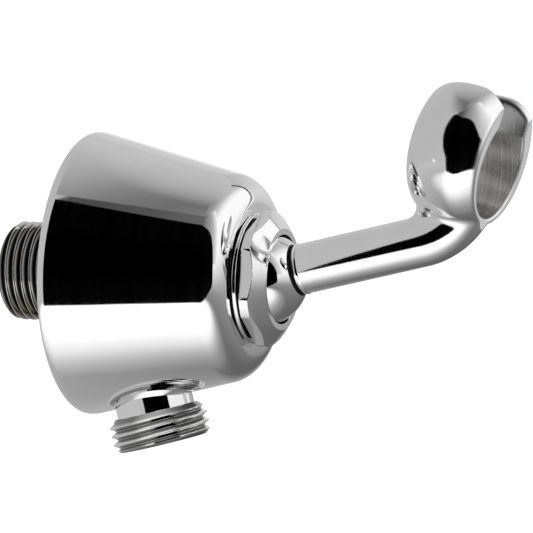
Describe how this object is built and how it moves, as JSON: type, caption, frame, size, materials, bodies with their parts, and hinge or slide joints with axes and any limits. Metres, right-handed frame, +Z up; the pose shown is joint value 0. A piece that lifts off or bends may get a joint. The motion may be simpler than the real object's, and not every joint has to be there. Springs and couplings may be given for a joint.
{
  "type": "hand shower holder",
  "caption": "Cone-shaped chromed wall outlet with a threaded inlet behind, a hose connector below, and a ball-jointed arm whose slotted fork holds a hand shower.",
  "frame": {"origin": "centre of the body's rear rim on the wall, on the inlet's axis", "axes": "+Y along the inlet into the wall, -Y out towards the user, +Z up, +X to the right of someone facing the wall"},
  "size_m": [0.0596, 0.1104, 0.0791],
  "materials": {
    "chrome": "polished chrome plate on brass",
    "seal_rubber": "black sealing rubber",
    "seat_nylon": "natural nylon",
    "seat_acetal": "white acetal",
    "spring_steel": "stainless spring steel",
    "valve_plastic": "blue acetal",
    "plunger_plastic": "white acetal"
  },
  "bodies": {
    "base": {"wall_body": "chrome", "outlet_nipple": "chrome", "outlet_oring": "seal_rubber", "retaining_nut": "chrome", "front_seat": "seat_nylon", "friction_spring": "spring_steel", "check_valve_housing": "valve_plastic", "check_valve_oring": "seal_rubber", "check_valve_spring": "spring_steel"},
    "seat_cup": {"rear_seat": "seat_acetal"},
    "ball": {"ball": "chrome"},
    "arm": {"arm_fork": "chrome"},
    "plunger": {"check_valve_poppet": "plunger_plastic", "check_valve_seal": "seal_rubber"}
  },
  "joints": [
    {"name": "swivel", "type": "hinge", "parent": "base", "child": "seat_cup", "pos_m": [0, -0.0373, 0], "axis": [0, -1, 0], "continuous": true},
    {"name": "tilt", "type": "hinge", "parent": "seat_cup", "child": "ball", "pos_m": [0, -0.0373, 0], "axis": [-1, 0, 0], "range_deg": [-41.9, 14.1]},
    {"name": "turn", "type": "hinge", "parent": "ball", "child": "arm", "pos_m": [0, -0.0373, 0], "axis": [0, -0.9707, 0.2402], "continuous": true},
    {"name": "valve_lift", "type": "slide", "parent": "base", "child": "plunger", "axis": [0, -1, 0], "range_m": [0, 0.0022], "stiffness_N_per_m": 100, "springref_m": -0.00125, "deforming": ["check_valve_spring"]}
  ]
}
